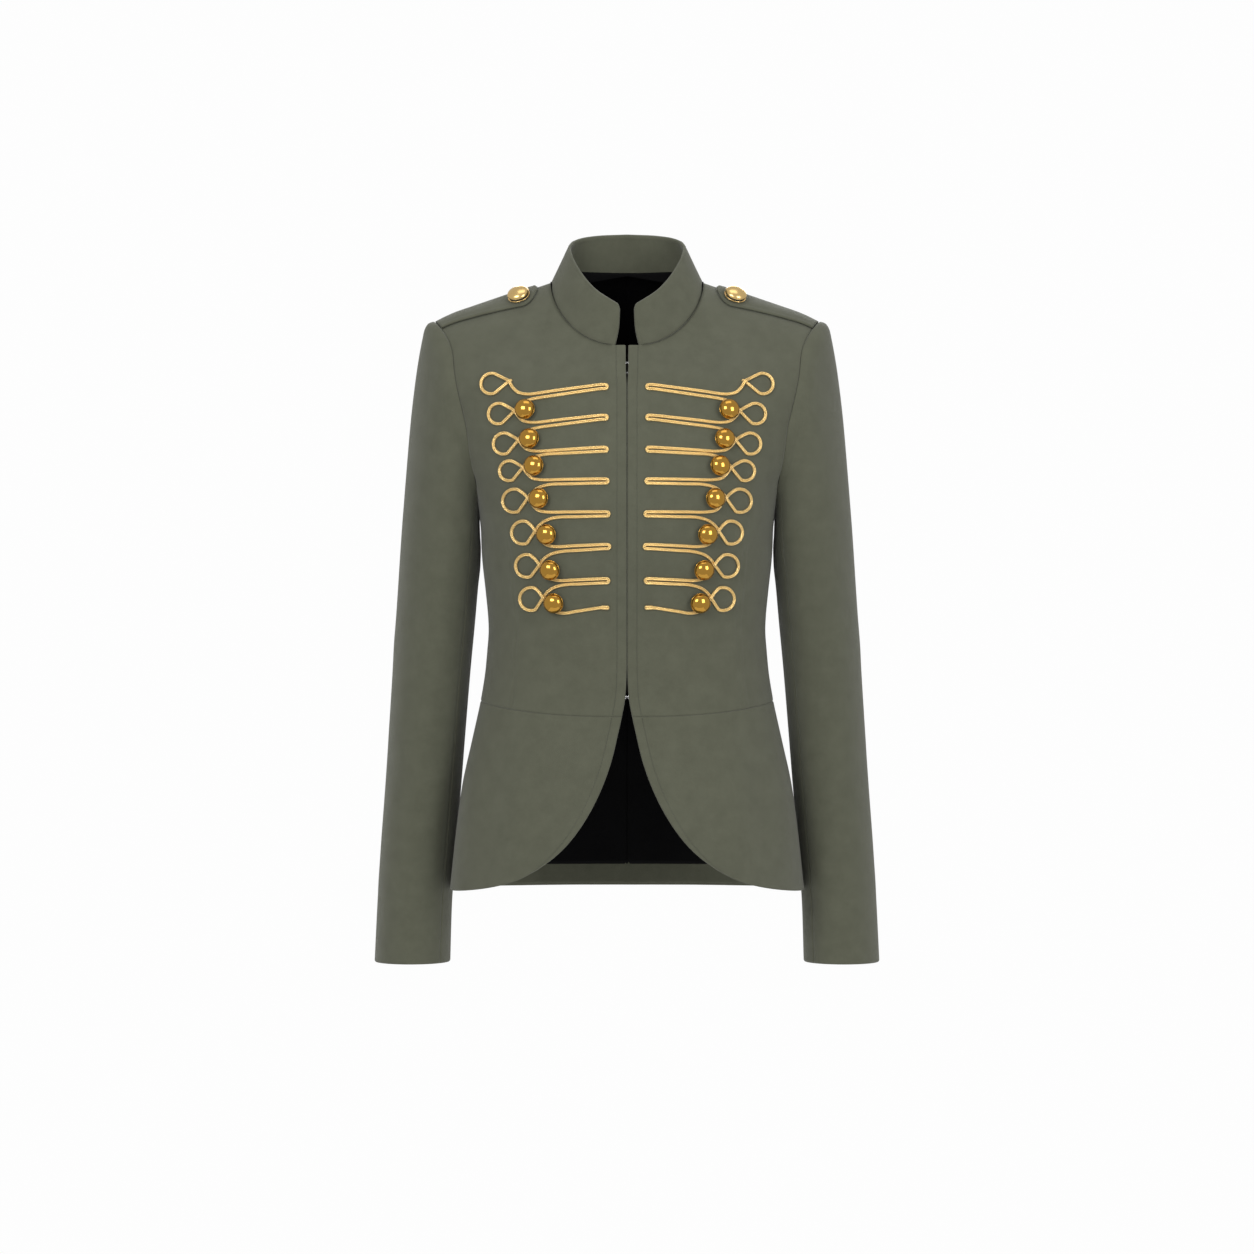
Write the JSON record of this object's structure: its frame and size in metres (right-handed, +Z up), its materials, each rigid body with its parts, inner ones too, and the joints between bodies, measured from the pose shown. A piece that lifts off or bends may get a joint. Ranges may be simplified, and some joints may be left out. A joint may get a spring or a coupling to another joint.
{
  "type": "military jacket",
  "caption": "Hollow, waist-seamed military jacket with a stand collar, looped cord frogging, domed buttons, shoulder straps and a cut-away skirt.",
  "frame": {"origin": "middle of the neck, at the height where the shoulder seams meet the collar, where the wearer holds the jacket up", "axes": "+Z up, -Y towards the front, +X to the wearer's left"},
  "size_m": [0.5084, 0.2476, 0.7323],
  "materials": {
    "cloth": "matte",
    "lining": "satin",
    "cord": "satin",
    "brass": "polished",
    "pale_brass": "satin",
    "steel": "polished"
  },
  "bodies": {
    "root": {"front_right": "cloth", "back_right": "cloth", "peplum_right": "cloth", "sleeve_top_right": "cloth", "sleeve_under_right": "cloth", "lining_right": "lining", "strap_right": "cloth", "strap_button_right": "pale_brass", "frogging_right": "cord", "button_right_2": "brass", "button_right_3": "brass", "button_right_4": "brass", "button_right_5": "brass", "button_right_6": "brass", "button_right_7": "brass", "button_right_8": "brass", "front_left": "cloth", "back_left": "cloth", "peplum_left": "cloth", "sleeve_top_left": "cloth", "sleeve_under_left": "cloth", "lining_left": "lining", "strap_left": "cloth", "strap_button_left": "pale_brass", "frogging_left": "cord", "button_left_2": "brass", "button_left_3": "brass", "button_left_4": "brass", "button_left_5": "brass", "button_left_6": "brass", "button_left_7": "brass", "button_left_8": "brass", "hook_1": "steel", "eye_1": "steel", "hook_2": "steel", "eye_2": "steel", "hook_3": "steel", "eye_3": "steel", "peplum_back": "cloth", "hem_facing": "cloth", "collar": "cloth"}
  },
  "joints": []
}
